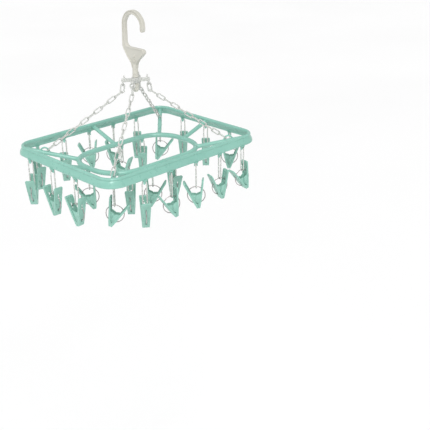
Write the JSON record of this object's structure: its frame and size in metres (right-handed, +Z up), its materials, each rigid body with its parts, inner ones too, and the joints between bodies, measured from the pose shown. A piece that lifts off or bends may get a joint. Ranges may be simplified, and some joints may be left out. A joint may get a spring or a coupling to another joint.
{
  "type": "clip drying hanger",
  "caption": "Rectangular hanging dryer: a pole hook, a turning hub, chains, a rounded frame with an inner ring, and spring pegs on long links.",
  "frame": {"origin": "centre of the hook's inner arc, on the axis of the drying pole it hangs on", "axes": "+X along the drying pole and the frame's long sides, +Y towards the hook's closed leg, +Z up"},
  "size_m": [0.4119, 0.3273, 0.3519],
  "materials": {
    "hook_plastic": "satin ivory moulding",
    "clear_plastic": "milky translucent moulding",
    "frame_plastic": "glossy mint green moulding",
    "peg_plastic": "satin mint green moulding with a steel ring spring"
  },
  "bodies": {
    "hook_body": {"hook": "hook_plastic", "stem_cap": "hook_plastic"},
    "carrier": {"hub": "clear_plastic", "opening_links": "clear_plastic", "chain_1": "clear_plastic", "chain_2": "clear_plastic", "chain_3": "clear_plastic", "chain_4": "clear_plastic", "outer_frame": "frame_plastic", "inner_ring": "frame_plastic", "cross_bars": "frame_plastic"},
    "peg_1": {"peg_1_front": "peg_plastic"},
    "peg_1_jaw": {"peg_1_back": "peg_plastic"},
    "peg_2": {"peg_2_front": "peg_plastic"},
    "peg_2_jaw": {"peg_2_back": "peg_plastic"},
    "peg_3": {"peg_3_front": "peg_plastic"},
    "peg_3_jaw": {"peg_3_back": "peg_plastic"},
    "peg_4": {"peg_4_front": "peg_plastic"},
    "peg_4_jaw": {"peg_4_back": "peg_plastic"},
    "peg_5": {"peg_5_front": "peg_plastic"},
    "peg_5_jaw": {"peg_5_back": "peg_plastic"},
    "peg_6": {"peg_6_front": "peg_plastic"},
    "peg_6_jaw": {"peg_6_back": "peg_plastic"},
    "peg_7": {"peg_7_front": "peg_plastic"},
    "peg_7_jaw": {"peg_7_back": "peg_plastic"},
    "peg_8": {"peg_8_front": "peg_plastic"},
    "peg_8_jaw": {"peg_8_back": "peg_plastic"},
    "peg_9": {"peg_9_front": "peg_plastic"},
    "peg_9_jaw": {"peg_9_back": "peg_plastic"},
    "peg_10": {"peg_10_front": "peg_plastic"},
    "peg_10_jaw": {"peg_10_back": "peg_plastic"},
    "peg_11": {"peg_11_front": "peg_plastic"},
    "peg_11_jaw": {"peg_11_back": "peg_plastic"},
    "peg_12": {"peg_12_front": "peg_plastic"},
    "peg_12_jaw": {"peg_12_back": "peg_plastic"},
    "peg_13": {"peg_13_front": "peg_plastic"},
    "peg_13_jaw": {"peg_13_back": "peg_plastic"},
    "peg_14": {"peg_14_front": "peg_plastic"},
    "peg_14_jaw": {"peg_14_back": "peg_plastic"},
    "peg_15": {"peg_15_front": "peg_plastic"},
    "peg_15_jaw": {"peg_15_back": "peg_plastic"},
    "peg_16": {"peg_16_front": "peg_plastic"},
    "peg_16_jaw": {"peg_16_back": "peg_plastic"},
    "peg_17": {"peg_17_front": "peg_plastic"},
    "peg_17_jaw": {"peg_17_back": "peg_plastic"},
    "peg_18": {"peg_18_front": "peg_plastic"},
    "peg_18_jaw": {"peg_18_back": "peg_plastic"},
    "peg_19": {"peg_19_front": "peg_plastic"},
    "peg_19_jaw": {"peg_19_back": "peg_plastic"},
    "peg_20": {"peg_20_front": "peg_plastic"},
    "peg_20_jaw": {"peg_20_back": "peg_plastic"},
    "peg_21": {"peg_21_front": "peg_plastic"},
    "peg_21_jaw": {"peg_21_back": "peg_plastic"},
    "peg_22": {"peg_22_front": "peg_plastic"},
    "peg_22_jaw": {"peg_22_back": "peg_plastic"},
    "peg_23": {"peg_23_front": "peg_plastic"},
    "peg_23_jaw": {"peg_23_back": "peg_plastic"},
    "peg_24": {"peg_24_front": "peg_plastic"},
    "peg_24_jaw": {"peg_24_back": "peg_plastic"}
  },
  "joints": [
    {"name": "hub_swivel", "type": "hinge", "parent": "hook_body", "child": "carrier", "pos_m": [0, 0, -0.098], "axis": [0, 0, 1], "continuous": true},
    {"name": "peg_1_swing", "type": "hinge", "parent": "carrier", "child": "peg_1", "pos_m": [-0.109, -0.1411, -0.2332], "axis": [0.5736, 0.8192, 0], "range_deg": [-12, 12]},
    {"name": "peg_1_open", "type": "hinge", "parent": "peg_1", "child": "peg_1_jaw", "pos_m": [-0.10866, -0.14062, -0.30304], "axis": [-0.8192, 0.5736, 0], "range_deg": [0, 18], "stiffness_Nm_per_rad": 0.08},
    {"name": "peg_2_swing", "type": "hinge", "parent": "carrier", "child": "peg_2", "pos_m": [-0.047, -0.1411, -0.2332], "axis": [0.9511, -0.309, 0], "range_deg": [-12, 12]},
    {"name": "peg_2_open", "type": "hinge", "parent": "peg_2", "child": "peg_2_jaw", "pos_m": [-0.04368, -0.14218, -0.30251], "axis": [0.309, 0.9511, 0], "range_deg": [0, 18], "stiffness_Nm_per_rad": 0.08},
    {"name": "peg_3_swing", "type": "hinge", "parent": "carrier", "child": "peg_3", "pos_m": [0.015, -0.1411, -0.2332], "axis": [0.7071, -0.7071, 0], "range_deg": [-12, 12]},
    {"name": "peg_3_open", "type": "hinge", "parent": "peg_3", "child": "peg_3_jaw", "pos_m": [0.01639, -0.14249, -0.30289], "axis": [0.7071, 0.7071, 0], "range_deg": [0, 18], "stiffness_Nm_per_rad": 0.08},
    {"name": "peg_4_swing", "type": "hinge", "parent": "carrier", "child": "peg_4", "pos_m": [0.077, -0.1411, -0.2332], "axis": [0.9659, -0.2588, 0], "range_deg": [-12, 12]},
    {"name": "peg_4_open", "type": "hinge", "parent": "peg_4", "child": "peg_4_jaw", "pos_m": [0.07852, -0.14151, -0.30295], "axis": [0.2588, 0.9659, 0], "range_deg": [0, 18], "stiffness_Nm_per_rad": 0.08},
    {"name": "peg_5_swing", "type": "hinge", "parent": "carrier", "child": "peg_5", "pos_m": [0.139, -0.1411, -0.2332], "axis": [0.9903, -0.1392, 0], "range_deg": [-12, 12]},
    {"name": "peg_5_open", "type": "hinge", "parent": "peg_5", "child": "peg_5_jaw", "pos_m": [0.14319, -0.14169, -0.30224], "axis": [0.1392, 0.9903, 0], "range_deg": [0, 18], "stiffness_Nm_per_rad": 0.08},
    {"name": "peg_6_swing", "type": "hinge", "parent": "carrier", "child": "peg_6", "pos_m": [-0.133, 0.1411, -0.2332], "axis": [0.342, 0.9397, 0], "range_deg": [-12, 12]},
    {"name": "peg_6_open", "type": "hinge", "parent": "peg_6", "child": "peg_6_jaw", "pos_m": [-0.13273, 0.14184, -0.30303], "axis": [-0.9397, 0.342, 0], "range_deg": [0, 18], "stiffness_Nm_per_rad": 0.08},
    {"name": "peg_7_swing", "type": "hinge", "parent": "carrier", "child": "peg_7", "pos_m": [-0.071, 0.1411, -0.2332], "axis": [0.4226, 0.9063, 0], "range_deg": [-12, 12]},
    {"name": "peg_7_open", "type": "hinge", "parent": "peg_7", "child": "peg_7_jaw", "pos_m": [-0.0705, 0.14217, -0.303], "axis": [-0.9063, 0.4226, 0], "range_deg": [0, 18], "stiffness_Nm_per_rad": 0.08},
    {"name": "peg_8_swing", "type": "hinge", "parent": "carrier", "child": "peg_8", "pos_m": [-0.009, 0.1411, -0.2332], "axis": [0.7071, -0.7071, 0], "range_deg": [-12, 12]},
    {"name": "peg_8_open", "type": "hinge", "parent": "peg_8", "child": "peg_8_jaw", "pos_m": [-0.00761, 0.13971, -0.28989], "axis": [0.7071, 0.7071, 0], "range_deg": [0, 18], "stiffness_Nm_per_rad": 0.08},
    {"name": "peg_9_swing", "type": "hinge", "parent": "carrier", "child": "peg_9", "pos_m": [0.053, 0.1411, -0.2332], "axis": [-0.6428, 0.766, 0], "range_deg": [-12, 12]},
    {"name": "peg_9_open", "type": "hinge", "parent": "peg_9", "child": "peg_9_jaw", "pos_m": [0.05262, 0.14155, -0.30304], "axis": [-0.766, -0.6428, 0], "range_deg": [0, 18], "stiffness_Nm_per_rad": 0.08},
    {"name": "peg_10_swing", "type": "hinge", "parent": "carrier", "child": "peg_10", "pos_m": [0.115, 0.1411, -0.2332], "axis": [0.7071, 0.7071, 0], "range_deg": [-12, 12]},
    {"name": "peg_10_open", "type": "hinge", "parent": "peg_10", "child": "peg_10_jaw", "pos_m": [0.11556, 0.14166, -0.30303], "axis": [-0.7071, 0.7071, 0], "range_deg": [0, 18], "stiffness_Nm_per_rad": 0.08},
    {"name": "peg_11_swing", "type": "hinge", "parent": "carrier", "child": "peg_11", "pos_m": [-0.1851, -0.048, -0.2332], "axis": [0.0872, -0.9962, 0], "range_deg": [-12, 12]},
    {"name": "peg_11_open", "type": "hinge", "parent": "peg_11", "child": "peg_11_jaw", "pos_m": [-0.18496, -0.04957, -0.30295], "axis": [0.9962, 0.0872, 0], "range_deg": [0, 18], "stiffness_Nm_per_rad": 0.08},
    {"name": "peg_12_swing", "type": "hinge", "parent": "carrier", "child": "peg_12", "pos_m": [-0.1851, 0.02, -0.2332], "axis": [0, -1, 0], "range_deg": [-12, 12]},
    {"name": "peg_12_open", "type": "hinge", "parent": "peg_12", "child": "peg_12_jaw", "pos_m": [-0.1851, 0.01843, -0.30295], "axis": [1, 0, 0], "range_deg": [0, 18], "stiffness_Nm_per_rad": 0.08},
    {"name": "peg_13_swing", "type": "hinge", "parent": "carrier", "child": "peg_13", "pos_m": [-0.1851, 0.088, -0.2332], "axis": [0.7314, 0.682, 0], "range_deg": [-12, 12]},
    {"name": "peg_13_open", "type": "hinge", "parent": "peg_13", "child": "peg_13_jaw", "pos_m": [-0.18481, 0.08827, -0.30305], "axis": [-0.682, 0.7314, 0], "range_deg": [0, 18], "stiffness_Nm_per_rad": 0.08},
    {"name": "peg_14_swing", "type": "hinge", "parent": "carrier", "child": "peg_14", "pos_m": [0.1851, -0.064, -0.2332], "axis": [-0.7071, 0.7071, 0], "range_deg": [-12, 12]},
    {"name": "peg_14_open", "type": "hinge", "parent": "peg_14", "child": "peg_14_jaw", "pos_m": [0.18468, -0.06358, -0.29004], "axis": [-0.7071, -0.7071, 0], "range_deg": [0, 18], "stiffness_Nm_per_rad": 0.08},
    {"name": "peg_15_swing", "type": "hinge", "parent": "carrier", "child": "peg_15", "pos_m": [0.1851, 0.004, -0.2332], "axis": [0.7071, 0.7071, 0], "range_deg": [-12, 12]},
    {"name": "peg_15_open", "type": "hinge", "parent": "peg_15", "child": "peg_15_jaw", "pos_m": [0.18566, 0.00456, -0.30303], "axis": [-0.7071, 0.7071, 0], "range_deg": [0, 18], "stiffness_Nm_per_rad": 0.08},
    {"name": "peg_16_swing", "type": "hinge", "parent": "carrier", "child": "peg_16", "pos_m": [0.1851, 0.072, -0.2332], "axis": [0.766, 0.6428, 0], "range_deg": [-12, 12]},
    {"name": "peg_16_open", "type": "hinge", "parent": "peg_16", "child": "peg_16_jaw", "pos_m": [0.18555, 0.07238, -0.30304], "axis": [-0.6428, 0.766, 0], "range_deg": [0, 18], "stiffness_Nm_per_rad": 0.08},
    {"name": "peg_17_swing", "type": "hinge", "parent": "carrier", "child": "peg_17", "pos_m": [-0.13373, -0.08753, -0.2403], "axis": [-0.6428, 0.766, 0], "range_deg": [-12, 12]},
    {"name": "peg_17_open", "type": "hinge", "parent": "peg_17", "child": "peg_17_jaw", "pos_m": [-0.13645, -0.08428, -0.30934], "axis": [-0.766, -0.6428, 0], "range_deg": [0, 18], "stiffness_Nm_per_rad": 0.08},
    {"name": "peg_18_swing", "type": "hinge", "parent": "carrier", "child": "peg_18", "pos_m": [0.13373, 0.08753, -0.2403], "axis": [-0.7071, 0.7071, 0], "range_deg": [-12, 12]},
    {"name": "peg_18_open", "type": "hinge", "parent": "peg_18", "child": "peg_18_jaw", "pos_m": [0.13099, 0.09026, -0.29648], "axis": [-0.7071, -0.7071, 0], "range_deg": [0, 18], "stiffness_Nm_per_rad": 0.08},
    {"name": "peg_19_swing", "type": "hinge", "parent": "carrier", "child": "peg_19", "pos_m": [-0.082, -0.07, -0.251], "axis": [0.7071, 0.7071, 0], "range_deg": [-12, 12]},
    {"name": "peg_19_open", "type": "hinge", "parent": "peg_19", "child": "peg_19_jaw", "pos_m": [-0.08158, -0.06958, -0.30784], "axis": [-0.7071, 0.7071, 0], "range_deg": [0, 18], "stiffness_Nm_per_rad": 0.08},
    {"name": "peg_20_swing", "type": "hinge", "parent": "carrier", "child": "peg_20", "pos_m": [-0.028, -0.07, -0.251], "axis": [-0.7071, 0.7071, 0], "range_deg": [-12, 12]},
    {"name": "peg_20_open", "type": "hinge", "parent": "peg_20", "child": "peg_20_jaw", "pos_m": [-0.0298, -0.0682, -0.30757], "axis": [-0.7071, -0.7071, 0], "range_deg": [0, 18], "stiffness_Nm_per_rad": 0.08},
    {"name": "peg_21_swing", "type": "hinge", "parent": "carrier", "child": "peg_21", "pos_m": [0.026, -0.07, -0.251], "axis": [0.342, 0.9397, 0], "range_deg": [-12, 12]},
    {"name": "peg_21_open", "type": "hinge", "parent": "peg_21", "child": "peg_21_jaw", "pos_m": [0.0264, -0.06889, -0.3078], "axis": [-0.9397, 0.342, 0], "range_deg": [0, 18], "stiffness_Nm_per_rad": 0.08},
    {"name": "peg_22_swing", "type": "hinge", "parent": "carrier", "child": "peg_22", "pos_m": [0.015, 0.07, -0.251], "axis": [-0.342, 0.9397, 0], "range_deg": [-12, 12]},
    {"name": "peg_22_open", "type": "hinge", "parent": "peg_22", "child": "peg_22_jaw", "pos_m": [0.01473, 0.07074, -0.30783], "axis": [-0.9397, -0.342, 0], "range_deg": [0, 18], "stiffness_Nm_per_rad": 0.08},
    {"name": "peg_23_swing", "type": "hinge", "parent": "carrier", "child": "peg_23", "pos_m": [0.069, 0.07, -0.251], "axis": [0.7071, 0.7071, 0], "range_deg": [-12, 12]},
    {"name": "peg_23_open", "type": "hinge", "parent": "peg_23", "child": "peg_23_jaw", "pos_m": [0.06956, 0.07056, -0.30783], "axis": [-0.7071, 0.7071, 0], "range_deg": [0, 18], "stiffness_Nm_per_rad": 0.08},
    {"name": "peg_24_swing", "type": "hinge", "parent": "carrier", "child": "peg_24", "pos_m": [-0.118, 0.004, -0.251], "axis": [0.766, -0.6428, 0], "range_deg": [-12, 12]},
    {"name": "peg_24_open", "type": "hinge", "parent": "peg_24", "child": "peg_24_jaw", "pos_m": [-0.11533, 0.00176, -0.30731], "axis": [0.6428, 0.766, 0], "range_deg": [0, 18], "stiffness_Nm_per_rad": 0.08}
  ]
}
